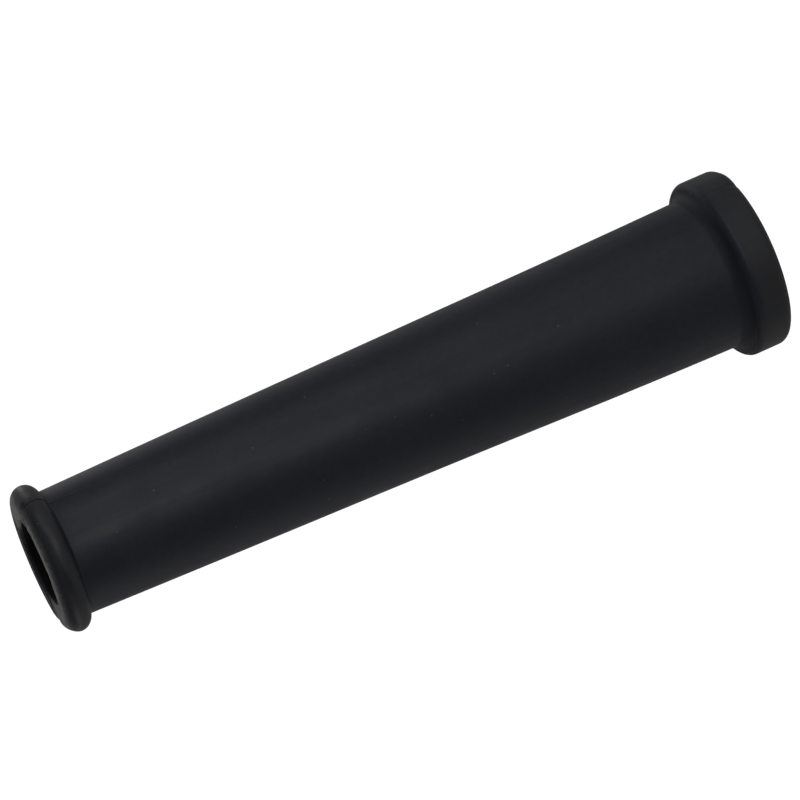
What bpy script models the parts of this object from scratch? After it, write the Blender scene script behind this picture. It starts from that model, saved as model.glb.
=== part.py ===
"""Tapered rubber sleeve with a rounded bead round its mouth and a thick collar at its root.

The sleeve is one moulding and so one solid: the bead, the tapered wall and the collar run into each
other through fillets, with a bore open from end to end. It is a turned shape, so it is made as one
outline spun about the bore's axis.

Frame: metres, +Z up. The origin is the centre of the collar's flat end face, which the sleeve stands on.
+Z runs along the bore to the mouth.
"""

import math

import bmesh
import bpy

# Driving dimensions, in metres.
SLEEVE_LENGTH = 0.0900          # collar end face to mouth face
MOUTH_BORE_RADIUS = 0.0051      # the bore's narrowest part, which the cord passes through
ROOT_BORE_RADIUS = 0.0068       # the bore at the collar's end face
NECK_LENGTH = 0.0060            # straight stretch of bore behind the mouth
TIP_WALL = 0.00230              # wall just behind the bead
ROOT_WALL = 0.00228             # wall just in front of the collar
BEAD_HEIGHT = 0.00143           # how far the bead stands proud of the wall
BEAD_ROUND = 0.00158            # radius of the bead's half-round section
BEAD_FILLET = 0.00030           # inside corner between the bead and the wall
COLLAR_LENGTH = 0.0052          # shoulder to end face
COLLAR_STEP = 0.00172           # how far the collar stands proud of the wall
SHOULDER_FILLET = 0.00065       # inside corner between the wall and the shoulder
COLLAR_FRONT_ROUND = 0.00100    # outer edge of the shoulder
COLLAR_END_ROUND = 0.00100      # outer edge of the end face
MOUTH_LIP_ROUND = 0.00045       # inner edge of the mouth
ROOT_LIP_ROUND = 0.00050        # inner edge of the end face

# Sizes that follow from those above.
TIP_RADIUS = MOUTH_BORE_RADIUS + TIP_WALL
ROOT_RADIUS = ROOT_BORE_RADIUS + ROOT_WALL
COLLAR_RADIUS = ROOT_RADIUS + COLLAR_STEP
BEAD_CENTRE_RADIUS = TIP_RADIUS + BEAD_HEIGHT - BEAD_ROUND

# Largest shares of the collar's step that its two roundings at the shoulder may take.
FILLET_SHARE = 0.39
FRONT_ROUND_SHARE = 0.60

# Smoothness of the turned surface.
SEGMENTS_AROUND = 64
STEPS_PER_QUARTER = 5
SHARP_EDGE_ANGLE = math.radians(35.0)
MERGE_DISTANCE = 1.0e-6

RUBBER_COLOUR = (0.013, 0.014, 0.017, 1.0)
RUBBER_ROUGHNESS = 0.62


def clear_scene():
    """Remove every object, so that only the sleeve is left in the scene."""
    for item in list(bpy.data.objects):
        bpy.data.objects.remove(item, do_unlink=True)


def arc(centre_radius, centre_height, radius, start, end):
    """Return the points (radius, height) of an arc, both ends included; angles in degrees from +radius."""
    steps = max(2, round(STEPS_PER_QUARTER * abs(end - start) / 90.0))
    points = []
    for step in range(steps + 1):
        angle = math.radians(start + (end - start) * step / steps)
        points.append((centre_radius + radius * math.cos(angle), centre_height + radius * math.sin(angle)))
    return points


def bead_outline():
    """Return the bead's section: over its half-round top and down into the fillet on the wall."""
    centre_height = SLEEVE_LENGTH - BEAD_ROUND
    reach = BEAD_ROUND + BEAD_FILLET
    rise = TIP_RADIUS + BEAD_FILLET - BEAD_CENTRE_RADIUS
    run = math.sqrt(reach ** 2 - rise ** 2)
    fillet_radius = TIP_RADIUS + BEAD_FILLET
    fillet_height = centre_height - run
    contact = math.degrees(math.atan2(-run, rise))
    top = arc(BEAD_CENTRE_RADIUS, centre_height, BEAD_ROUND, 90.0, contact)
    corner = arc(fillet_radius, fillet_height, BEAD_FILLET, contact + 180.0, 180.0)
    return top + corner[1:]


def collar_outline():
    """Return the collar's section: the shoulder's fillet, both outer roundings and the flat end face."""
    shoulder_height = COLLAR_LENGTH
    fillet = min(SHOULDER_FILLET, FILLET_SHARE * COLLAR_STEP)
    front_round = min(COLLAR_FRONT_ROUND, FRONT_ROUND_SHARE * COLLAR_STEP)
    corner = arc(ROOT_RADIUS + fillet, shoulder_height + fillet, fillet, 180.0, 270.0)
    front = arc(COLLAR_RADIUS - front_round, shoulder_height - front_round, front_round, 90.0, 0.0)
    end = arc(COLLAR_RADIUS - COLLAR_END_ROUND, COLLAR_END_ROUND, COLLAR_END_ROUND, 0.0, -90.0)
    return corner + front + end


def bore_outline():
    """Return the bore's section: the end face's inner edge, the taper, the neck and the mouth's lip."""
    root_lip = arc(ROOT_BORE_RADIUS + ROOT_LIP_ROUND, ROOT_LIP_ROUND, ROOT_LIP_ROUND, 270.0, 180.0)
    neck_start = (MOUTH_BORE_RADIUS, SLEEVE_LENGTH - NECK_LENGTH)
    lip_height = SLEEVE_LENGTH - MOUTH_LIP_ROUND
    mouth_lip = arc(MOUTH_BORE_RADIUS + MOUTH_LIP_ROUND, lip_height, MOUTH_LIP_ROUND, 180.0, 90.0)
    return root_lip + [neck_start] + mouth_lip


def rubber_material():
    """Return the black rubber of the moulding."""
    material = bpy.data.materials.new("black_rubber")
    material.use_nodes = True
    shader = material.node_tree.nodes["Principled BSDF"]
    shader.inputs["Base Color"].default_value = RUBBER_COLOUR
    shader.inputs["Roughness"].default_value = RUBBER_ROUGHNESS
    shader.inputs["Metallic"].default_value = 0.0
    return material


def turned_mesh(name, outline):
    """Return a mesh of the closed outline of points (radius, height), spun once about Z."""
    shape = bmesh.new()
    ring = [shape.verts.new((radius, 0.0, height)) for radius, height in outline]
    edges = [shape.edges.new((ring[index - 1], ring[index])) for index in range(len(ring))]
    bmesh.ops.spin(shape, geom=ring + edges, cent=(0.0, 0.0, 0.0), axis=(0.0, 0.0, 1.0),
                   angle=2.0 * math.pi, steps=SEGMENTS_AROUND, use_merge=True)
    bmesh.ops.remove_doubles(shape, verts=shape.verts, dist=MERGE_DISTANCE)
    bmesh.ops.recalc_face_normals(shape, faces=shape.faces)
    mesh = bpy.data.meshes.new(name)
    shape.to_mesh(mesh)
    shape.free()
    mesh.shade_smooth()
    mesh.set_sharp_from_angle(angle=SHARP_EDGE_ANGLE)
    return mesh


def make_sleeve():
    """Add the whole moulding: bead, tapered wall and collar, round one through bore."""
    outline = bead_outline() + collar_outline() + bore_outline()
    mesh = turned_mesh("rubber_sleeve", outline)
    mesh.materials.append(rubber_material())
    sleeve = bpy.data.objects.new("rubber_sleeve", mesh)
    bpy.context.collection.objects.link(sleeve)


clear_scene()
make_sleeve()
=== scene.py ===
"""Looks of a moulded rubber sleeve: half-round bead at the mouth, tapered wall, thick collar at the root.

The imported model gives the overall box. The moulding is shaped again here as one fine surface: a cone for the
wall, rims drawn out of its two open ends, and the marks that the mould leaves in soft rubber.
"""

import logging
import math
from dataclasses import dataclass, field
from enum import Enum
from typing import Callable, Sequence

import bmesh
import bpy
import numpy as np
from mathutils import Matrix, Vector


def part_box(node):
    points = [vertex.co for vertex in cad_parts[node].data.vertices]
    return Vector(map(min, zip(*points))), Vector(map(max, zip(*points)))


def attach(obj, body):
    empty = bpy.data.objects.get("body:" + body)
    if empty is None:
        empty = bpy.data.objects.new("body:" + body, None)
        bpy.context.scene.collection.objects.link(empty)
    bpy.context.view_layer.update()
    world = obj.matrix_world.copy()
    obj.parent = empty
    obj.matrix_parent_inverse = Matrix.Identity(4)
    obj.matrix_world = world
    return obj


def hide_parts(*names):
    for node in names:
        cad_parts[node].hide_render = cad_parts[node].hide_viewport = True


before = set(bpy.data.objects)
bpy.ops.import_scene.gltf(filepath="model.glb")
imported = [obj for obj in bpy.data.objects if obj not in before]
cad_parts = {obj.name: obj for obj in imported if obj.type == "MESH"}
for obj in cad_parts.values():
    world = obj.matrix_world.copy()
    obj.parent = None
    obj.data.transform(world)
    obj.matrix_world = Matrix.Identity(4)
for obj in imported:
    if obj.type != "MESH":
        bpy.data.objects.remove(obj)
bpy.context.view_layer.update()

MM = 0.001
HEIGHT_TOLERANCE = 2.0e-6
MERGE_DISTANCE = 1.0e-6

log = logging.getLogger("sleeve")

RingPoint = tuple[float, float]


class MaterialSlot(Enum):
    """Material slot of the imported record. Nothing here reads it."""

    RUBBER = "black_rubber"


class Half(Enum):
    """The two mould halves, by the side of the parting plane that they lie on."""

    FRONT = 1.0
    BACK = -1.0


# ---- sizes


@dataclass(frozen=True)
class SleeveSizes:
    """Sizes of the moulding, in metres. Heights are measured up from the collar's end face."""

    length: float
    collar_radius: float
    mouth_bore_radius: float = 5.10 * MM
    root_bore_radius: float = 6.80 * MM
    neck_length: float = 6.00 * MM
    tip_wall: float = 2.30 * MM
    root_wall: float = 2.28 * MM
    bead_height: float = 1.43 * MM
    bead_round: float = 1.58 * MM
    bead_fillet: float = 0.30 * MM
    collar_length: float = 5.20 * MM
    collar_side_top: float = 3.99 * MM
    shoulder_fillet: float = 1.20 * MM
    collar_front_round: float = 0.90 * MM
    collar_end_round: float = 1.00 * MM
    mouth_lip_round: float = 0.45 * MM
    root_lip_round: float = 0.50 * MM

    @property
    def tip_radius(self) -> float:
        """Outside radius of the wall at the foot of the bead."""
        return self.mouth_bore_radius + self.tip_wall

    @property
    def root_radius(self) -> float:
        """Outside radius of the wall at the shoulder."""
        return self.root_bore_radius + self.root_wall

    @property
    def bead_centre_radius(self) -> float:
        """Distance from the bore's axis to the centre of the bead's half-round section."""
        return self.tip_radius + self.bead_height - self.bead_round

    @property
    def bead_centre_height(self) -> float:
        """Height of the centre of the bead's half-round section."""
        return self.length - self.bead_round


def sizes_from_frame() -> SleeveSizes:
    """Return the moulding's sizes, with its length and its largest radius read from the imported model."""
    low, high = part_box("rubber_sleeve")
    return SleeveSizes(length=high.z - low.z, collar_radius=(high.x - low.x) / 2.0)


# ---- outlines


def arc(centre: RingPoint, radius: float, start: float, end: float, steps: int) -> list[RingPoint]:
    """Return an arc's points after its first one; angles in degrees from straight outwards, turning up."""
    angles = [math.radians(start + (end - start) * step / steps) for step in range(1, steps + 1)]
    return [(centre[0] + radius * math.cos(a), centre[1] + radius * math.sin(a)) for a in angles]


def straight(start: RingPoint, end: RingPoint, steps: int) -> list[RingPoint]:
    """Return the points of a straight stretch after its first one, in equal steps."""
    shares = [step / steps for step in range(1, steps + 1)]
    return [(start[0] + (end[0] - start[0]) * k, start[1] + (end[1] - start[1]) * k) for k in shares]


@dataclass(frozen=True)
class BeadOutline:
    """Half-round bead round the mouth, with the fillet at its foot and the mouth's rounded lip."""

    sizes: SleeveSizes
    fillet_steps: int = 8
    round_steps: int = 34
    face_steps: int = 4
    lip_steps: int = 8

    @property
    def foot(self) -> RingPoint:
        """Where the straight wall ends and the bead's fillet begins.

        Returns:
            Distance from the axis, and height.
        """
        s = self.sizes
        rise = s.tip_radius + s.bead_fillet - s.bead_centre_radius
        run = math.sqrt((s.bead_round + s.bead_fillet) ** 2 - rise ** 2)
        return s.tip_radius, s.bead_centre_height - run

    def rings(self) -> list[RingPoint]:
        """Return the rings from the bead's foot, over its crest and the mouth's face, to the neck's top.

        Returns:
            The rings, each a distance from the axis and a height.
        """
        s = self.sizes
        foot_radius, foot_height = self.foot
        fillet_centre = (foot_radius + s.bead_fillet, foot_height)
        bead_centre = (s.bead_centre_radius, s.bead_centre_height)
        contact = math.degrees(math.atan2(foot_height - s.bead_centre_height,
                                          fillet_centre[0] - s.bead_centre_radius))
        lip_centre = (s.mouth_bore_radius + s.mouth_lip_round, s.length - s.mouth_lip_round)
        fillet = arc(fillet_centre, s.bead_fillet, 180.0, contact + 180.0, self.fillet_steps)
        bead = arc(bead_centre, s.bead_round, contact, 90.0, self.round_steps)
        face = straight(bead[-1], (lip_centre[0], s.length), self.face_steps)
        lip = arc(lip_centre, s.mouth_lip_round, 90.0, 180.0, self.lip_steps)
        return fillet + bead + face + lip


@dataclass(frozen=True)
class CollarOutline:
    """Thick collar at the root: shoulder, rounded rims, flat end face and the bore's rounded mouth."""

    sizes: SleeveSizes
    fillet_steps: int = 12
    round_steps: int = 12
    side_steps: int = 8
    face_steps: int = 6
    lip_steps: int = 6

    @property
    def shoulder_reach(self) -> float:
        """Distance between the centres of the shoulder's two meeting arcs."""
        return self.sizes.shoulder_fillet + self.sizes.collar_front_round

    @property
    def shoulder_turn(self) -> float:
        """Degrees that each of the shoulder's two meeting arcs turns through."""
        s = self.sizes
        return math.degrees(math.acos(1.0 - (s.collar_radius - s.root_radius) / self.shoulder_reach))

    @property
    def foot(self) -> RingPoint:
        """Distance from the axis and height where the straight wall ends and the fillet begins."""
        run = self.shoulder_reach * math.sin(math.radians(self.shoulder_turn))
        return self.sizes.root_radius, self.sizes.collar_side_top + run

    def rings(self) -> list[RingPoint]:
        """Return the rings from the shoulder's fillet, round the collar and in to the bore.

        Returns:
            The rings, each a distance from the axis and a height.
        """
        s = self.sizes
        turn = self.shoulder_turn
        fillet_centre = (s.root_radius + s.shoulder_fillet, self.foot[1])
        front_centre = (s.collar_radius - s.collar_front_round, s.collar_side_top)
        end_centre = (s.collar_radius - s.collar_end_round, s.collar_end_round)
        lip_centre = (s.root_bore_radius + s.root_lip_round, s.root_lip_round)
        fillet = arc(fillet_centre, s.shoulder_fillet, 180.0, 180.0 + turn, self.fillet_steps)
        front = arc(front_centre, s.collar_front_round, turn, 0.0, self.round_steps)
        side = straight(front[-1], (s.collar_radius, s.collar_end_round), self.side_steps)
        end = arc(end_centre, s.collar_end_round, 0.0, -90.0, self.round_steps)
        face = straight(end[-1], (lip_centre[0], 0.0), self.face_steps)
        lip = arc(lip_centre, s.root_lip_round, 270.0, 180.0, self.lip_steps)
        return fillet + front + side + end + face + lip


# ---- bench


class Bench:
    """Edit-mode steps on one open tube, as a modeller would take them."""

    def __init__(self, name: str, low: RingPoint, high: RingPoint, segments: int) -> None:
        """Add an open cone between two rings, at its place, and enter edit mode on it.

        Args:
            name: Name of the object.
            low: Distance from the axis and height of the lower rim.
            high: Distance from the axis and height of the upper rim.
            segments: Number of sides round the axis.
        """
        for item in bpy.context.selected_objects:
            item.select_set(False)
        middle = (0.0, 0.0, (low[1] + high[1]) / 2.0)
        bpy.ops.mesh.primitive_cone_add(vertices=segments, radius1=low[0], radius2=high[0],
                                        depth=high[1] - low[1], end_fill_type="NOTHING", location=middle)
        self.piece = bpy.context.object
        self.piece.name = name
        self.piece.data.name = name
        bpy.ops.object.transform_apply(location=True, rotation=True, scale=True)
        bpy.ops.object.mode_set(mode="EDIT")

    def _select_nothing(self) -> None:
        """Go to edge selection with nothing selected."""
        bpy.ops.mesh.select_mode(type="EDGE")
        bpy.ops.mesh.select_all(action="DESELECT")

    def _pick(self, wanted: Callable[[bmesh.types.BMEdge], bool]) -> None:
        """Add the edges that pass a test to the selection.

        Args:
            wanted: Test of one edge.
        """
        shape = bmesh.from_edit_mesh(self.piece.data)
        for edge in shape.edges:
            if wanted(edge):
                edge.select_set(True)
        bmesh.update_edit_mesh(self.piece.data)

    def _pick_rim(self, height: float) -> None:
        """Add the open rim at a height to the selection.

        Args:
            height: Height of the rim, in metres.
        """
        def on_rim(edge: bmesh.types.BMEdge) -> bool:
            """Return whether an edge is open and lies at the height."""
            level = all(abs(vert.co.z - height) < HEIGHT_TOLERANCE for vert in edge.verts)
            return edge.is_boundary and level

        self._pick(on_rim)

    def draw_rings(self, start: RingPoint, rings: Sequence[RingPoint]) -> None:
        """Extrude the open rim at the start point through every ring in turn.

        Args:
            start: Distance from the axis and height of the rim that is drawn out.
            rings: Distances from the axis and heights that the rim passes through.
        """
        self._select_nothing()
        self._pick_rim(start[1])
        radius, height = start
        for next_radius, next_height in rings:
            rise = (0.0, 0.0, next_height - height)
            bpy.ops.mesh.extrude_edges_move(TRANSFORM_OT_translate={"value": rise})
            growth = next_radius / radius
            bpy.ops.transform.resize(value=(growth, growth, 1.0), center_override=(0.0, 0.0, next_height))
            radius, height = next_radius, next_height

    def join_rims(self, first_height: float, second_height: float) -> None:
        """Bridge the two open rims that are left, at the given heights.

        Args:
            first_height: Height of one rim.
            second_height: Height of the other rim.
        """
        self._select_nothing()
        self._pick_rim(first_height)
        self._pick_rim(second_height)
        bpy.ops.mesh.bridge_edge_loops()

    def cut_across(self, inside: Callable[[float], bool], shortest: float, cuts: int) -> None:
        """Subdivide the long lengthwise edges whose distance from the axis passes a test.

        Args:
            inside: Test of the distance of an edge's middle from the axis.
            shortest: Length above which an edge counts as long.
            cuts: Number of new rings.
        """
        def is_long(edge: bmesh.types.BMEdge) -> bool:
            """Return whether an edge is long and its middle passes the test."""
            middle = (edge.verts[0].co + edge.verts[1].co) / 2.0
            return edge.calc_length() > shortest and inside(math.hypot(middle.x, middle.y))

        self._select_nothing()
        self._pick(is_long)
        bpy.ops.mesh.subdivide(number_cuts=cuts)

    def close(self) -> bpy.types.Object:
        """Merge doubles, turn every face outwards and leave edit mode.

        Returns:
            The finished object.
        """
        bpy.ops.mesh.select_all(action="SELECT")
        bpy.ops.mesh.remove_doubles(threshold=MERGE_DISTANCE)
        bpy.ops.mesh.normals_make_consistent(inside=False)
        bpy.ops.mesh.select_all(action="DESELECT")
        bpy.ops.object.mode_set(mode="OBJECT")
        return self.piece


# ---- mould marks


def bell(distance: np.ndarray, reach: float, steepness: int = 2) -> np.ndarray:
    """Return 1 at no distance and about a third at the reach; a steeper bell has a flatter top."""
    return np.exp(-(distance / reach) ** steepness)


def turn_from(angle: np.ndarray, start: float) -> np.ndarray:
    """Return how far angles lie past a start, from minus to plus half a turn, in radians."""
    return np.arctan2(np.sin(angle - start), np.cos(angle - start))


@dataclass(frozen=True)
class Wave:
    """One sine wave: its height as a share, its radians per unit of place, and its first phase."""

    share: float
    rate: float
    phase: float = 0.0

    def at(self, place: np.ndarray) -> np.ndarray:
        """Return the wave's height at each place."""
        return self.share * np.sin(self.rate * place + self.phase)


@dataclass(frozen=True)
class Skin:
    """Surface points: angles from the front parting line, distances from the axis, heights, unit normals."""

    angle: np.ndarray
    radius: np.ndarray
    height: np.ndarray
    outward: np.ndarray


@dataclass(frozen=True)
class Dent:
    """One shallow hollow pressed into the rubber, with its sizes in millimetres.

    Attributes:
        angle: Degrees round the axis from the front parting line.
        height: Height of its middle above the collar's end face.
        wide: Reach round the sleeve.
        tall: Reach along the sleeve.
        deep: Depth in the middle; a negative depth is a swelling.
    """

    angle: float
    height: float
    wide: float
    tall: float
    deep: float

    def depth_at(self, skin: Skin) -> np.ndarray:
        """Return the dent's inward moves at the surface points, in metres."""
        around = turn_from(skin.angle, math.radians(self.angle)) * skin.radius / MM
        return self.deep * MM * bell(around, self.wide) * bell(skin.height / MM - self.height, self.tall)


@dataclass(frozen=True)
class PartingLine:
    """The line where two mould halves met, on a plane through the axis: a shadow gap, darkened further with
    painted shade, and a low step.

    Its waves run in radians for each millimetre down from the mouth, and its first two fades in millimetres.
    """

    sizes: SleeveSizes
    wander: float = 0.16 * MM
    wander_waves: tuple[Wave, ...] = (Wave(1.0, 0.55, 0.6), Wave(0.5, 1.35, 2.1))
    wander_fade: float = 14.0
    drift: float = -0.42 * MM
    drift_fade: float = 9.0
    wall_wave: Wave = Wave(0.04 * MM, 0.21)
    ragged_share: float = 0.25
    ragged_waves: tuple[Wave, Wave] = (Wave(1.0, 3.7, 0.5), Wave(1.0, 1.9, 0.8))
    gap_depth: float = 0.10 * MM
    gap_width: float = 0.10 * MM
    # Width of the painted shade that darkens the gap.
    gap_shade_width: float = 0.15 * MM
    step: float = 0.02 * MM
    step_width: float = 0.08 * MM
    step_fade: float = 3.0 * MM
    clean_height: float = 71.0 * MM
    worn_height: float = 88.0 * MM
    faint_share: float = 0.04
    collar_share: float = 0.30

    def strength(self, height: np.ndarray) -> np.ndarray:
        """Return how strongly the line shows: full at the mouth, faint on the wall, plainer on the collar.

        Args:
            height: Heights of the surface points.

        Returns:
            Shares from 0 to 1.
        """
        rise = np.clip((height - self.clean_height) / (self.worn_height - self.clean_height), 0.0, 1.0)
        wall = self.faint_share + (1.0 - self.faint_share) * rise * rise * (3.0 - 2.0 * rise)
        collar = np.clip((self.sizes.collar_length - height) / self.sizes.collar_front_round, 0.0, 1.0)
        return np.maximum(wall, self.collar_share * collar)

    def middle(self, height: np.ndarray) -> np.ndarray:
        """Return how far the line strays sideways from the parting plane.

        Args:
            height: Heights of the surface points.

        Returns:
            Distances round the sleeve, in metres.
        """
        down = (self.sizes.length - height) / MM
        slow = sum(wave.at(down) for wave in self.wander_waves)
        near_mouth = self.wander * slow * np.exp(-down / self.wander_fade)
        return near_mouth + self.drift * np.exp(-down / self.drift_fade) + self.wall_wave.at(down)

    def offset(self, across: np.ndarray, height: np.ndarray) -> np.ndarray:
        """Return how far the line moves the surface outwards.

        Args:
            across: Distances round the sleeve from the parting plane.
            height: Heights of the surface points.

        Returns:
            Outward moves, in metres.
        """
        from_line = across - self.middle(height)
        down = (self.sizes.length - height) / MM
        fine, coarse = self.ragged_waves
        ragged = 1.0 - self.ragged_share + self.ragged_share * fine.at(down) * coarse.at(down)
        gap = self.gap_depth * ragged * bell(from_line, self.gap_width)
        proud = 0.5 * (1.0 + np.tanh(from_line / self.step_width))
        step = self.step * proud * np.exp(-np.maximum(from_line, 0.0) / self.step_fade)
        return (step - gap) * self.strength(height)

    def painted_shade(self, across: np.ndarray, height: np.ndarray) -> np.ndarray:
        """Return how much painted shade darkens the line's gap, from 0 to 1."""
        return bell(across - self.middle(height), self.gap_shade_width) * self.strength(height)


@dataclass(frozen=True)
class WearAndPaintedLight:
    """Where the rubber is rubbed, dull or chafed, and where shade or a highlight is painted, as shares from 0
    to 1 for each surface point.

    A chafed patch is given by the degrees of its middle, its reach in degrees, and its share.
    """

    sizes: SleeveSizes
    rim_reach: float = 1.7 * MM
    rim_edge: float = 0.5 * MM
    # Painted shade in the creases at the shoulder and at the bead's foot.
    shoulder_shade: float = 0.35
    shoulder_shade_reach: float = 0.50 * MM
    foot_shade: float = 0.60
    foot_shade_reach: float = 0.30 * MM
    dull_share: float = 0.80
    dull_reach: float = 1.4 * MM
    dull_below_crest: float = 0.8 * MM
    dull_rise: float = 1.6 * MM
    bore_skin: float = 0.45 * MM
    bore_edge: float = 0.20 * MM
    bore_end: float = 0.30 * MM
    # Pale chafing of the mouth's face; its strongest side faces the camera, where it also serves as a painted
    # highlight.
    chafed_base: float = 0.02
    chafe_highlight_side: float = -50.0
    chafe_highlight_side_power: float = 1.5
    chafed_reach: float = 1.5 * MM
    chafed_depth: float = 0.5 * MM
    chafed_fade: float = 0.4 * MM
    chafed_patches: tuple[tuple[float, float, float], ...] = ((48.0, 24.0, 1.00), (-152.0, 26.0, 0.55))

    def rims(self, skin: Skin) -> np.ndarray:
        """Return how much the proud rims are rubbed.

        Args:
            skin: The surface points.

        Returns:
            Shares from 0 to 1.
        """
        s = self.sizes
        bead = bell(skin.height - s.bead_centre_height, self.rim_reach)
        bead *= np.clip((skin.radius - s.tip_radius) / s.bead_height, 0.0, 1.0)
        collar = np.clip((s.collar_side_top - skin.height) / self.rim_edge, 0.0, 1.0)
        return np.clip(bead + collar * (skin.radius > s.root_radius), 0.0, 1.0)

    def crease_shade(self, skin: Skin) -> np.ndarray:
        """Return how much painted shade darkens the creases at the shoulder and at the bead's foot.

        Args:
            skin: The surface points.

        Returns:
            Shares from 0 to 1.
        """
        s = self.sizes
        shoulder = bell(skin.height - s.collar_length, self.shoulder_shade_reach)
        foot = bell(skin.height - (s.length - 2.0 * s.bead_round), self.foot_shade_reach)
        return np.clip(self.shoulder_shade * shoulder + self.foot_shade * foot, 0.0, 1.0)

    def dull(self, skin: Skin) -> np.ndarray:
        """Return where the skin is dull: round the shoulder, on the bead's front and in the bore.

        Args:
            skin: The surface points.

        Returns:
            Shares from 0 to 1.
        """
        shoulder = bell(skin.height - self.sizes.collar_length, self.dull_reach, 4)
        above = skin.height - self.sizes.bead_centre_height + self.dull_below_crest
        bead_front = np.clip(above / self.dull_rise, 0.0, 1.0)
        return np.maximum(self.dull_share * np.maximum(shoulder, bead_front), self.bore(skin))

    def bore(self, skin: Skin) -> np.ndarray:
        """Return 1 inside the bore, where no bloom forms and the colour is darkened as painted shade, and 0
        outside it.

        Args:
            skin: The surface points.

        Returns:
            Shares from 0 to 1.
        """
        s = self.sizes
        bore = s.root_bore_radius + (s.mouth_bore_radius - s.root_bore_radius) * skin.height / s.length
        inside = np.clip((bore + self.bore_skin - skin.radius) / self.bore_edge, 0.0, 1.0)
        return inside * (skin.height < s.length - self.bore_end)

    def chafe_and_highlight(self, skin: Skin) -> np.ndarray:
        """Return how far the mouth's face is chafed pale: most on the side that faces the camera, where the
        pale colour also serves as a painted highlight on the near lip, and more in two patches.

        Args:
            skin: The surface points.

        Returns:
            Shares from 0 to 1.
        """
        s = self.sizes
        middle_radius = (s.mouth_bore_radius + s.mouth_lip_round + s.bead_centre_radius) / 2.0
        side = (0.5 + 0.5 * np.cos(skin.angle - math.radians(self.chafe_highlight_side))) ** self.chafe_highlight_side_power
        total = (self.chafed_base + side) * bell(skin.radius - middle_radius, self.chafed_reach)
        for middle, reach, share in self.chafed_patches:
            total = total + share * bell(turn_from(skin.angle, math.radians(middle)), math.radians(reach), 4)
        top = np.clip((skin.height - (s.length - self.chafed_depth)) / self.chafed_fade, 0.0, 1.0)
        return np.clip(total, 0.0, 1.0) * top


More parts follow.
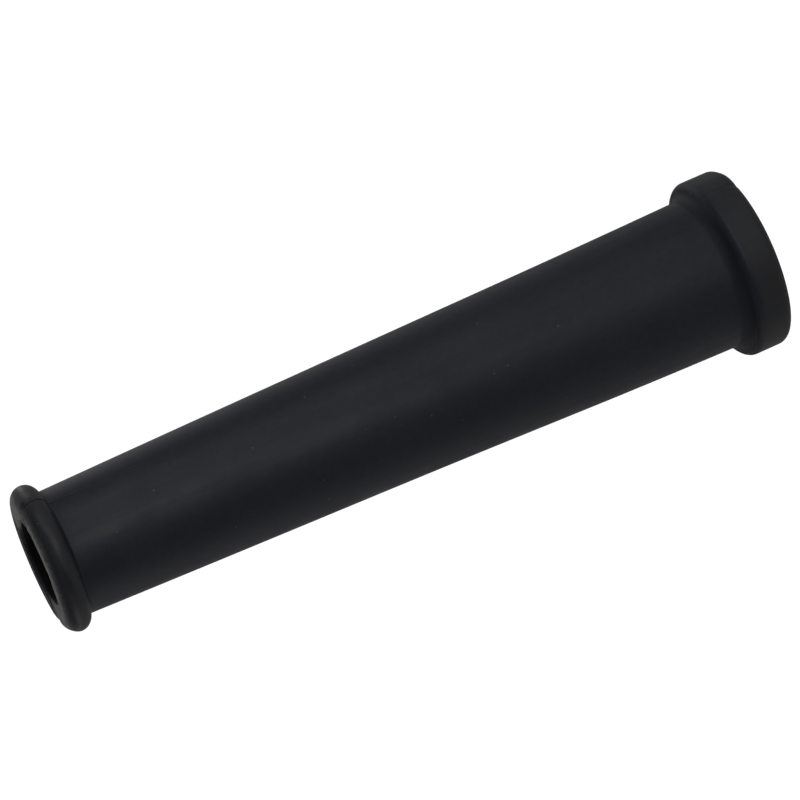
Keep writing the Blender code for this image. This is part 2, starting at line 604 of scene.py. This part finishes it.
@dataclass(frozen=True)
class MouldMarks:
    """Everything the mould leaves on the turned shape: parting lines, dents, a wavy lip and rim nicks."""

    sizes: SleeveSizes
    crowding: float = 0.72
    line_reach: float = 0.9
    line_dullness: float = 0.85
    lip_wave: float = 0.035 * MM
    lip_waves: tuple[Wave, ...] = (Wave(1.0, 7.0, 0.4), Wave(0.7, 13.0, 1.9), Wave(0.5, 29.0))
    lip_tall: float = 0.5 * MM
    lip_wide: float = 0.6 * MM
    wall_wave_around: Wave = Wave(0.020 * MM, 2.0, 0.9)
    wall_wave_length: float = 9.0 * MM
    axis_stray: float = 0.18 * MM
    stray_angle: float = 40.0
    stray_middle: float = 0.12
    stray_reach: float = 0.22
    shoulder_lean: float = 0.33 * MM
    lean_angle: float = 109.4
    facing_slope: float = 4.0
    face_tilt: float = 0.3
    end_edge: float = 0.15 * MM
    dents: tuple[Dent, ...] = (
        Dent(-62.0, 88.9, 2.6, 0.55, 0.10),
        Dent(-38.0, 89.2, 1.8, 0.45, 0.07),
        Dent(-84.0, 88.6, 1.7, 0.60, 0.08),
        Dent(-41.0, 87.8, 1.4, 0.50, -0.10),
        Dent(-22.0, 88.3, 1.2, 0.50, 0.07),
        Dent(-64.0, 87.7, 1.5, 0.45, 0.05),
        Dent(-104.0, 88.1, 1.4, 0.60, 0.06),
        Dent(12.0, 88.4, 1.1, 0.90, 0.06),
        Dent(75.0, 88.9, 2.2, 0.60, 0.07),
        Dent(150.0, 88.2, 1.6, 0.70, 0.06),
        Dent(-135.0, 89.5, 3.6, 0.80, 0.15),
        Dent(1.0, 89.9, 0.32, 0.50, 0.28),
        Dent(10.0, 0.50, 1.8, 0.45, -0.15),
        Dent(-0.5, 0.50, 0.35, 0.45, 0.20),
        Dent(-168.0, 89.7, 0.7, 0.50, 0.16),
        Dent(181.0, 0.60, 0.40, 0.35, 0.10),
    )

    def press(self, piece: bpy.types.Object) -> None:
        """Move the surface of the turned piece, and store as attributes its wear, its chafing with a painted
        highlight, and painted shade in its gaps, creases and bore.

        Args:
            piece: The turned moulding, with its place in its mesh.
        """
        mesh = piece.data
        skin = self._skin(mesh)
        outside = self._outside(skin)
        relief, painted_shade = self._parting_lines(skin)
        for dent in self.dents:
            relief -= dent.depth_at(skin)
        relief += self.wall_wave_around.at(skin.angle) * np.sin(skin.height / self.wall_wave_length)
        move = relief * outside + self._lip_wave(skin)
        spots = np.stack([skin.radius * np.cos(skin.angle), skin.radius * np.sin(skin.angle),
                          skin.height + self._lean(skin)], axis=1)
        spots = spots + skin.outward * move[:, None] + self._stray(skin)
        spots[:, 2] = np.clip(spots[:, 2], 0.0, self.sizes.length)
        mesh.vertices.foreach_set("co", spots.ravel())
        mesh.update()
        wear_and_light = WearAndPaintedLight(self.sizes)
        # Painted shade: the colour is darkened in the parting lines' gaps and in the creases at the shoulder
        # and at the bead's foot.
        self._store(mesh, "shade_in_gaps_and_creases", np.maximum(painted_shade, wear_and_light.crease_shade(skin)) * outside)
        # Painted shade: the bore's colour is darkened.
        self._store(mesh, "bore_shade", wear_and_light.bore(skin))
        self._store(mesh, "dull_skin", np.maximum(wear_and_light.dull(skin), self.line_dullness * painted_shade * outside))
        self._store(mesh, "rim_wear", wear_and_light.rims(skin) * outside)
        # Pale chafing, which is also a painted highlight along the near lip on the camera's side.
        self._store(mesh, "chafed_lip_highlight", wear_and_light.chafe_and_highlight(skin))

    def _skin(self, mesh: bpy.types.Mesh) -> Skin:
        """Return the mesh's points, crowded round the axis towards the two parting lines.

        Args:
            mesh: Mesh of the turned piece, with even steps round the axis.

        Returns:
            The points, which need finer steps where the lines run.
        """
        count = len(mesh.vertices)
        spots, normals = np.empty(count * 3), np.empty(count * 3)
        mesh.vertices.foreach_get("co", spots)
        mesh.vertices.foreach_get("normal", normals)
        spots, normals = spots.reshape(-1, 3), normals.reshape(-1, 3)
        even = np.arctan2(spots[:, 1], spots[:, 0])
        angle = even - 0.5 * self.crowding * np.sin(2.0 * even)
        turn = angle - even
        outward_x = np.cos(turn) * normals[:, 0] - np.sin(turn) * normals[:, 1]
        outward_y = np.sin(turn) * normals[:, 0] + np.cos(turn) * normals[:, 1]
        outward = np.stack([outward_x, outward_y, normals[:, 2]], axis=1)
        return Skin(angle, np.hypot(spots[:, 0], spots[:, 1]), spots[:, 2], outward)

    def _parting_lines(self, skin: Skin) -> tuple[np.ndarray, np.ndarray]:
        """Return what the two parting lines do to the surface.

        Args:
            skin: The surface points.

        Returns:
            Outward moves in metres, and shares of painted shade in the lines' gaps, from 0 to 1.
        """
        line = PartingLine(self.sizes)
        relief, painted_shade = np.zeros_like(skin.angle), np.zeros_like(skin.angle)
        for side, start in ((Half.FRONT, 0.0), (Half.BACK, math.pi)):
            turned = turn_from(skin.angle, start)
            across = turned * skin.radius * side.value
            near = bell(turned, self.line_reach, 4)
            relief += line.offset(across, skin.height) * near
            painted_shade = np.maximum(painted_shade, line.painted_shade(across, skin.height) * near)
        return relief, painted_shade

    def _outside(self, skin: Skin) -> np.ndarray:
        """Return 1 on the outside and the mouth's face, 0 in the bore and on the collar's end face.

        Args:
            skin: The surface points.

        Returns:
            Shares from 0 to 1.
        """
        radial = skin.outward[:, 0] * np.cos(skin.angle) + skin.outward[:, 1] * np.sin(skin.angle)
        facing = np.clip(radial * self.facing_slope + 1.0, 0.0, 1.0)
        mouth_face = (skin.outward[:, 2] > self.face_tilt) & (skin.height > 0.5 * self.sizes.length)
        off_end = np.clip(skin.height / self.end_edge, 0.0, 1.0)
        past_bore = skin.radius - self.sizes.mouth_bore_radius
        off_bore = np.clip(past_bore / self.sizes.mouth_lip_round, 0.0, 1.0)
        return np.where(mouth_face, off_bore, facing) * off_end

    def _lean(self, skin: Skin) -> np.ndarray:
        """Return how far the shoulder leans out of square, with the surface just above and below it.

        Args:
            skin: The surface points.

        Returns:
            Moves up the axis, in metres.
        """
        s = self.sizes
        near = bell(np.abs(skin.height - s.collar_length), s.collar_length / 2.0, 3)
        outer = np.clip(skin.radius - s.root_bore_radius, 0.0, MM) / MM
        return self.shoulder_lean * np.cos(skin.angle - math.radians(self.lean_angle)) * near * outer

    def _lip_wave(self, skin: Skin) -> np.ndarray:
        """Return the small unevenness of the mouth's inner edge.

        Args:
            skin: The surface points.

        Returns:
            Outward moves, in metres.
        """
        near_edge = bell(skin.height - self.sizes.length, self.lip_tall)
        near_edge *= bell(skin.radius - self.sizes.mouth_bore_radius, self.lip_wide)
        return self.lip_wave * sum(wave.at(skin.angle) for wave in self.lip_waves) * near_edge

    def _stray(self, skin: Skin) -> np.ndarray:
        """Return how far the axis of the soft wall strays sideways at each height.

        Args:
            skin: The surface points.

        Returns:
            Moves as an array of three columns.
        """
        share = np.clip(skin.height / self.sizes.length, 0.0, 1.0)
        bend = -np.sin(math.pi * share) * bell(share - self.stray_middle, self.stray_reach)
        direction = math.radians(self.stray_angle)
        sideways = np.array([math.cos(direction), math.sin(direction), 0.0])
        return self.axis_stray * bend[:, None] * sideways[None, :]

    @staticmethod
    def _store(mesh: bpy.types.Mesh, name: str, values: np.ndarray) -> None:
        """Store one value for each vertex as a named attribute, which the material reads."""
        attribute = mesh.attributes.new(name, "FLOAT", "POINT")
        attribute.data.foreach_set("value", values.astype(np.float32))


# ---- finishes


@dataclass(frozen=True)
class Pattern:
    """Cloudy pattern: features per metre, number and strength of finer layers, factors on X, Y and Z."""

    scale: float
    detail: float
    roughness: float
    stretch: tuple[float, float, float] | None = None


@dataclass(frozen=True)
class Range:
    """Limits of a remapped value: what goes in, and what comes out."""

    low: float
    high: float
    to_low: float = 0.0
    to_high: float = 1.0


class NodeBoard:
    """Small helper that adds shader nodes and joins them."""

    def __init__(self, material: bpy.types.Material) -> None:
        """Start on a material's own node tree.

        Args:
            material: Material with nodes switched on.
        """
        self.tree = material.node_tree
        self.shader = self.tree.nodes["Principled BSDF"]
        self.place = self.tree.nodes.new("ShaderNodeTexCoord").outputs["Object"]

    def join(self, source: bpy.types.NodeSocket, target: bpy.types.NodeSocket) -> None:
        """Link one socket to another."""
        self.tree.links.new(source, target)

    def stretched(self, scale: tuple[float, float, float]) -> bpy.types.NodeSocket:
        """Return object coordinates scaled along each axis.

        Args:
            scale: Factor along X, Y and Z.

        Returns:
            The scaled coordinates.
        """
        node = self.tree.nodes.new("ShaderNodeMapping")
        node.inputs["Scale"].default_value = scale
        self.join(self.place, node.inputs["Vector"])
        return node.outputs["Vector"]

    def noise(self, pattern: Pattern) -> bpy.types.NodeSocket:
        """Return a cloudy pattern, on the object's own coordinates.

        Args:
            pattern: Its scale, its finer layers and its stretch.

        Returns:
            The pattern, from 0 to 1.
        """
        node = self.tree.nodes.new("ShaderNodeTexNoise")
        node.inputs["Scale"].default_value = pattern.scale
        node.inputs["Detail"].default_value = pattern.detail
        node.inputs["Roughness"].default_value = pattern.roughness
        place = self.stretched(pattern.stretch) if pattern.stretch else self.place
        self.join(place, node.inputs["Vector"])
        return node.outputs["Fac"]

    def attribute(self, name: str) -> bpy.types.NodeSocket:
        """Return the values of a named attribute of the mesh.

        Args:
            name: Name of the attribute.

        Returns:
            The values.
        """
        node = self.tree.nodes.new("ShaderNodeAttribute")
        node.attribute_name = name
        return node.outputs["Fac"]

    def ramp(self, value: bpy.types.NodeSocket, limits: Range) -> bpy.types.NodeSocket:
        """Return a value remapped from one range to another and held at its ends.

        Args:
            value: Value to remap.
            limits: The two ranges.

        Returns:
            The remapped value.
        """
        node = self.tree.nodes.new("ShaderNodeMapRange")
        node.inputs["From Min"].default_value = limits.low
        node.inputs["From Max"].default_value = limits.high
        node.inputs["To Min"].default_value = limits.to_low
        node.inputs["To Max"].default_value = limits.to_high
        self.join(value, node.inputs["Value"])
        return node.outputs["Result"]

    def math(self, operation: str, first: bpy.types.NodeSocket,
             second: bpy.types.NodeSocket | float) -> bpy.types.NodeSocket:
        """Return the result of a sum on two values.

        Args:
            operation: Blender's name of the operation, such as MULTIPLY.
            first: First value.
            second: Second value, as a socket or a number.

        Returns:
            The result.
        """
        node = self.tree.nodes.new("ShaderNodeMath")
        node.operation = operation
        self.join(first, node.inputs[0])
        if isinstance(second, float):
            node.inputs[1].default_value = second
        else:
            self.join(second, node.inputs[1])
        return node.outputs["Value"]

    def blend(self, share: bpy.types.NodeSocket, first: bpy.types.NodeSocket | tuple,
              second: bpy.types.NodeSocket | tuple) -> bpy.types.NodeSocket:
        """Return a mix of two colours.

        Args:
            share: Share of the second colour, from 0 to 1.
            first: First colour, as a socket or numbers.
            second: Second colour, as a socket or numbers.

        Returns:
            The mixed colour.
        """
        node = self.tree.nodes.new("ShaderNodeMix")
        node.data_type = "RGBA"
        self.join(share, node.inputs["Factor"])
        colours = [socket for socket in node.inputs if socket.type == "RGBA"]
        for socket, colour in zip(colours, (first, second)):
            if isinstance(colour, tuple):
                socket.default_value = (*colour, 1.0)
            else:
                self.join(colour, socket)
        return next(socket for socket in node.outputs if socket.type == "RGBA")

    def bump(self, pattern: bpy.types.NodeSocket, strength: float, distance: float,
             under: bpy.types.NodeSocket | None = None) -> bpy.types.NodeSocket:
        """Return a normal roughened by a pattern.

        Args:
            pattern: Height pattern, from 0 to 1.
            strength: Share of the full effect.
            distance: Height that the pattern stands for.
            under: Normal to roughen further, where there is one.

        Returns:
            The roughened normal.
        """
        node = self.tree.nodes.new("ShaderNodeBump")
        node.inputs["Strength"].default_value = strength
        node.inputs["Distance"].default_value = distance
        self.join(pattern, node.inputs["Height"])
        if under is not None:
            self.join(under, node.inputs["Normal"])
        return node.outputs["Normal"]


@dataclass(frozen=True)
class BlackRubberFinish:
    """Matt black moulded rubber: faint grey bloom, drag marks, dull rims, a chafed lip that also carries a
    painted highlight, painted shade in gaps, creases and the bore, and a little dust.
    """

    name: str = "black_rubber_moulded"
    deep: tuple[float, float, float] = (0.0070, 0.0086, 0.0165)
    bloom: tuple[float, float, float] = (0.0130, 0.0148, 0.0255)
    rim: tuple[float, float, float] = (0.0220, 0.0224, 0.0220)
    # Colour of the painted shade in the parting lines' gaps, the creases and the bore.
    painted_shade: tuple[float, float, float] = (0.0020, 0.0020, 0.0022)
    # Pale colour of the chafing, which also serves as a painted highlight on the near lip.
    chafe_and_highlight: tuple[float, float, float] = (0.3600, 0.3600, 0.3400)
    dust: tuple[float, float, float] = (0.1500, 0.1500, 0.1450)
    specular_level: float = 0.50
    clouds: Pattern = Pattern(160.0, 5.0, 0.62)
    mottling: Pattern = Pattern(1300.0, 4.0, 0.70)
    bloom_range: Range = Range(0.78, 1.24)
    rubbing: Pattern = Pattern(520.0, 4.0, 0.60)
    rubbing_range: Range = Range(0.30, 0.65, 0.35, 1.0)
    rubbing_share: float = 0.75
    chafing: Pattern = Pattern(1500.0, 3.0, 0.60)
    chafing_range: Range = Range(0.30, 0.60, 0.45, 1.0)
    dust_cells: float = 600.0
    dust_spot: Range = Range(0.085, 0.045)
    dust_chosen: Range = Range(0.68, 0.78)
    dust_share: float = 0.42
    drag: Pattern = Pattern(1.0, 4.0, 0.60, (900.0, 900.0, 70.0))
    patches: Pattern = Pattern(240.0, 3.0, 0.50)
    roughness_range: Range = Range(0.36, 0.64, 0.46, 0.58)
    scratches: Pattern = Pattern(1.0, 3.0, 0.55, (1300.0, 1300.0, 90.0))
    scratch_depth: float = 0.04 * MM
    scratch_share: float = 0.20
    lumps: Pattern = Pattern(900.0, 3.0, 0.50)
    lump_height: float = 0.05 * MM
    lump_share: float = 0.25
    grain: Pattern = Pattern(7000.0, 2.0, 0.60)
    grain_height: float = 0.012 * MM
    grain_share: float = 0.35

    def material(self) -> bpy.types.Material:
        """Return the finish as a material that reads object coordinates and the mould's attributes.

        Returns:
            The material.
        """
        material = bpy.data.materials.new(self.name)
        material.use_nodes = True
        board = NodeBoard(material)
        board.shader.inputs["Metallic"].default_value = 0.0
        board.shader.inputs["Specular IOR Level"].default_value = self.specular_level
        board.join(self._colour(board), board.shader.inputs["Base Color"])
        board.join(self._roughness(board), board.shader.inputs["Roughness"])
        board.join(self._surface(board), board.shader.inputs["Normal"])
        return material

    def _colour(self, board: NodeBoard) -> bpy.types.NodeSocket:
        """Return the colour: bloom in clouds, greyer rims, a pale chafed lip that is partly a painted
        highlight, painted shade in the mould gaps, creases and bore, and scattered dust.

        Args:
            board: Nodes of the material.

        Returns:
            The colour.
        """
        both = board.math("ADD", board.noise(self.clouds), board.noise(self.mottling))
        colour = board.blend(board.ramp(both, self.bloom_range), self.deep, self.bloom)
        rubbed = board.ramp(board.noise(self.rubbing), self.rubbing_range)
        rubbed = board.math("MULTIPLY", board.attribute("rim_wear"), rubbed)
        colour = board.blend(board.math("MULTIPLY", rubbed, self.rubbing_share), colour, self.rim)
        # Pale chafing on the mouth's face, partly a painted highlight on the near lip.
        chafed = board.ramp(board.noise(self.chafing), self.chafing_range)
        colour = board.blend(board.math("MULTIPLY", board.attribute("chafed_lip_highlight"), chafed), colour, self.chafe_and_highlight)
        # Painted shade in the parting lines' gaps and in the creases.
        colour = board.blend(board.attribute("shade_in_gaps_and_creases"), colour, self.painted_shade)
        # Painted shade inside the bore.
        colour = board.blend(board.attribute("bore_shade"), colour, self.painted_shade)
        return board.blend(self._dust(board), colour, self.dust)

    def _dust(self, board: NodeBoard) -> bpy.types.NodeSocket:
        """Return where single pale specks of dust lie.

        Args:
            board: Nodes of the material.

        Returns:
            Share of dust, from 0 to 1.
        """
        cells = board.tree.nodes.new("ShaderNodeTexVoronoi")
        cells.inputs["Scale"].default_value = self.dust_cells
        board.join(board.place, cells.inputs["Vector"])
        spot = board.ramp(cells.outputs["Distance"], self.dust_spot)
        chosen = board.tree.nodes.new("ShaderNodeSeparateColor")
        board.join(cells.outputs["Color"], chosen.inputs["Color"])
        keep = board.ramp(chosen.outputs["Red"], self.dust_chosen)
        return board.math("MULTIPLY", board.math("MULTIPLY", spot, keep), self.dust_share)

    def _roughness(self, board: NodeBoard) -> bpy.types.NodeSocket:
        """Return the roughness: a little smoother in patches and along drag marks.

        Args:
            board: Nodes of the material.

        Returns:
            The roughness.
        """
        both = board.math("ADD", board.noise(self.drag), board.noise(self.patches))
        polished = board.ramp(board.math("MULTIPLY", both, 0.5), self.roughness_range)
        return board.math("MAXIMUM", polished, board.attribute("dull_skin"))

    def _surface(self, board: NodeBoard) -> bpy.types.NodeSocket:
        """Return the surface's normal: fine grain of the mould wall over faint drag marks.

        Args:
            board: Nodes of the material.

        Returns:
            The normal.
        """
        marks = board.bump(board.noise(self.scratches), self.scratch_share, self.scratch_depth)
        lumpy = board.bump(board.noise(self.lumps), self.lump_share, self.lump_height, marks)
        return board.bump(board.noise(self.grain), self.grain_share, self.grain_height, lumpy)


# ---- moulding


@dataclass
class SleeveMoulding:
    """The whole object: bead, tapered wall and collar in one rubber moulding with a through bore."""

    sizes: SleeveSizes
    segments: int = 288
    wall_rings: int = 99
    bore_rings: int = 38
    neck_rings: int = 5
    long_edge: float = 20.0 * MM
    smooth_angle: float = 40.0
    piece: bpy.types.Object | None = None

    def build(self, finish: BlackRubberFinish) -> bpy.types.Object:
        """Shape the moulding, press the mould's marks into it and dress it.

        Args:
            finish: The rubber's finish.

        Returns:
            The finished piece.
        """
        bead = BeadOutline(self.sizes)
        collar = CollarOutline(self.sizes)
        bench = Bench("sleeve_moulding", collar.foot, bead.foot, self.segments)
        self._draw_mouth(bench, bead)
        self._draw_root(bench, collar)
        self._refine(bench)
        self.piece = bench.close()
        MouldMarks(self.sizes).press(self.piece)
        self._smooth()
        self.piece.data.materials.clear()
        self.piece.data.materials.append(finish.material())
        return self.piece

    def _draw_mouth(self, bench: Bench, bead: BeadOutline) -> None:
        """Draw the upper rim over the bead, in round the lip and down the neck."""
        neck = straight(bead.rings()[-1], self._neck_end(), self.neck_rings)
        bench.draw_rings(bead.foot, bead.rings() + neck)

    def _draw_root(self, bench: Bench, collar: CollarOutline) -> None:
        """Draw the lower rim round the collar and in to the bore, and join it to the neck."""
        bench.draw_rings(collar.foot, collar.rings())
        bench.join_rims(collar.rings()[-1][1], self._neck_end()[1])

    def _neck_end(self) -> RingPoint:
        """Return where the straight neck meets the tapered bore."""
        return self.sizes.mouth_bore_radius, self.sizes.length - self.sizes.neck_length

    def _refine(self, bench: Bench) -> None:
        """Cut rings across the long faces of the wall and of the bore.

        Args:
            bench: The closed tube.
        """
        between = (self.sizes.root_bore_radius + self.sizes.tip_radius) / 2.0
        bench.cut_across(lambda radius: radius > between, self.long_edge, self.wall_rings)
        bench.cut_across(lambda radius: radius < between, self.long_edge, self.bore_rings)

    def _smooth(self) -> None:
        """Shade the piece smooth, apart from any true edge."""
        bpy.ops.object.select_all(action="DESELECT")
        self.piece.select_set(True)
        bpy.context.view_layer.objects.active = self.piece
        bpy.ops.object.shade_smooth_by_angle(angle=math.radians(self.smooth_angle))

    def place(self) -> None:
        """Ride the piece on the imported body, in place of its plain solid."""
        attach(self.piece, "root")
        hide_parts("rubber_sleeve")


# ---- studio


@dataclass(frozen=True)
class SoftBox:
    """One soft light: degrees round the axis from the camera's side, degrees above level, and watts."""

    name: str
    turn: float
    rise: float
    power: float


@dataclass(frozen=True)
class Viewpoint:
    """Where the camera stands round the upright sleeve.

    Attributes:
        turn: Degrees from the front parting line to the camera's side, round the axis.
        tilt: Degrees that the camera looks down by.
        bank: Degrees that the sleeve's axis runs up across the picture.
        distance: Distance from the camera to the sleeve's middle.
        lens: Focal length in millimetres, on the usual 36 mm sensor.
        slide: Shift of the aim along the sleeve, towards the collar.
        lift: Shift of the aim across the sleeve.
    """

    turn: float = -50.6
    tilt: float = 11.9
    bank: float = 23.46
    distance: float = 0.4819
    lens: float = 190.9
    slide: float = 0.30 * MM
    lift: float = 0.71 * MM

    def axes(self) -> tuple[Vector, Vector, Vector]:
        """Return the directions that the picture is laid out by.

        Returns:
            Directions along the sleeve, across it, and towards the camera.
        """
        turn, tilt = math.radians(self.turn), math.radians(self.tilt)
        near = Vector((math.cos(turn), math.sin(turn), 0.0))
        up = Vector((0.0, 0.0, 1.0))
        along = math.sin(tilt) * near - math.cos(tilt) * up
        across = up.cross(near)
        towards = math.cos(tilt) * near + math.sin(tilt) * up
        return along, across, towards


@dataclass
class Studio:
    """White table and surroundings, soft lights and the camera."""

    sizes: SleeveSizes
    view: Viewpoint = field(default_factory=Viewpoint)
    floor_half: float = 3.0
    floor_gap: float = 0.05 * MM
    white: float = 1.06
    table_glow: float = 0.27
    box_distance: float = 0.75
    box_size: float = 0.30
    nearest_seen: float = 0.01
    farthest_seen: float = 20.0
    boxes: tuple[SoftBox, ...] = (
        SoftBox("key_front", 10.0, 10.0, 0.95),
        SoftBox("key_side", 54.0, 10.0, 0.75),
        SoftBox("rim", 140.0, 15.0, 1.15),
        SoftBox("back", -165.0, 15.0, 0.50),
        SoftBox("under", -110.0, 22.0, 0.85),
        SoftBox("overhead", 100.0, 68.0, 0.42),
    )

    @property
    def middle(self) -> Vector:
        """Middle of the sleeve on its axis."""
        return Vector((0.0, 0.0, self.sizes.length / 2.0))

    def add_floor(self) -> None:
        """Add the white light table that the sleeve stands on, clear when looked at from below."""
        bpy.ops.mesh.primitive_plane_add(size=2.0 * self.floor_half, location=(0.0, 0.0, -self.floor_gap))
        floor = bpy.context.object
        floor.name = "floor"
        material = bpy.data.materials.new("white_table")
        material.use_nodes = True
        nodes, links = material.node_tree.nodes, material.node_tree.links
        nodes.clear()
        glow = nodes.new("ShaderNodeEmission")
        clear = nodes.new("ShaderNodeBsdfTransparent")
        side = nodes.new("ShaderNodeNewGeometry")
        choice = nodes.new("ShaderNodeMixShader")
        output = nodes.new("ShaderNodeOutputMaterial")
        self._white_to_the_eye(material.node_tree, glow, self.table_glow)
        links.new(side.outputs["Backfacing"], choice.inputs[0])
        links.new(glow.outputs["Emission"], choice.inputs[1])
        links.new(clear.outputs["BSDF"], choice.inputs[2])
        links.new(choice.outputs["Shader"], output.inputs["Surface"])
        floor.data.materials.append(material)

    def add_surroundings(self) -> None:
        """Make the room beyond the table look white, without adding to the soft boxes' light."""
        world = bpy.data.worlds.new("white_room")
        world.use_nodes = True
        self._white_to_the_eye(world.node_tree, world.node_tree.nodes["Background"], 0.0)
        bpy.context.scene.world = world

    def _white_to_the_eye(self, tree: bpy.types.NodeTree, glow: bpy.types.Node, light: float) -> None:
        """Make a glow pure white where it is seen directly, whatever light it gives.

        Args:
            tree: Node tree that holds the glow.
            glow: Node with a Strength input.
            light: Strength of the light that it throws on the sleeve.
        """
        path = tree.nodes.new("ShaderNodeLightPath")
        strength = tree.nodes.new("ShaderNodeMapRange")
        strength.inputs["To Min"].default_value = light
        strength.inputs["To Max"].default_value = self.white
        tree.links.new(path.outputs["Is Camera Ray"], strength.inputs["Value"])
        tree.links.new(strength.outputs["Result"], glow.inputs["Strength"])
        glow.inputs["Color"].default_value = (1.0, 1.0, 1.0, 1.0)

    def add_lights(self) -> None:
        """Add the ring of soft boxes, each aimed at the sleeve's middle."""
        for box in self.boxes:
            light = bpy.data.lights.new(box.name, "AREA")
            light.shape = "SQUARE"
            light.size = self.box_size
            light.energy = box.power
            lamp = bpy.data.objects.new(box.name, light)
            bpy.context.scene.collection.objects.link(lamp)
            turn, rise = math.radians(self.view.turn + box.turn), math.radians(box.rise)
            away = Vector((math.cos(rise) * math.cos(turn), math.cos(rise) * math.sin(turn), math.sin(rise)))
            lamp.location = self.middle + away * self.box_distance
            lamp.rotation_euler = (-away).to_track_quat("-Z", "Y").to_euler()
            lamp.visible_camera = False

    def add_camera(self) -> None:
        """Add the camera, banked so that the upright sleeve runs up across the picture."""
        along, across, towards = self.view.axes()
        bank = math.radians(self.view.bank)
        right = math.cos(bank) * along - math.sin(bank) * across
        top = math.sin(bank) * along + math.cos(bank) * across
        lens = bpy.data.cameras.new("camera")
        lens.lens = self.view.lens
        lens.clip_start, lens.clip_end = self.nearest_seen, self.farthest_seen
        camera = bpy.data.objects.new("camera", lens)
        bpy.context.scene.collection.objects.link(camera)
        aim = self.middle + along * self.view.slide + across * self.view.lift
        camera.location = aim + towards * self.view.distance
        camera.rotation_euler = Matrix((right, top, towards)).transposed().to_euler()
        bpy.context.scene.camera = camera

    def build(self) -> None:
        """Set up the whole studio."""
        self.add_floor()
        self.add_surroundings()
        self.add_lights()
        self.add_camera()
        bpy.context.scene.view_settings.view_transform = "Standard"


# ---- main


def main() -> None:
    """Build the moulding and its studio, and report each piece."""
    logging.basicConfig(level=logging.INFO, format="%(name)s: %(message)s")
    sizes = sizes_from_frame()
    moulding = SleeveMoulding(sizes)
    piece = moulding.build(BlackRubberFinish())
    moulding.place()
    log.info("%s: %d faces", piece.name, len(piece.data.polygons))
    studio = Studio(sizes)
    studio.build()
    log.info("studio: %d soft boxes", len(studio.boxes))


if __name__ == "__main__":
    main()
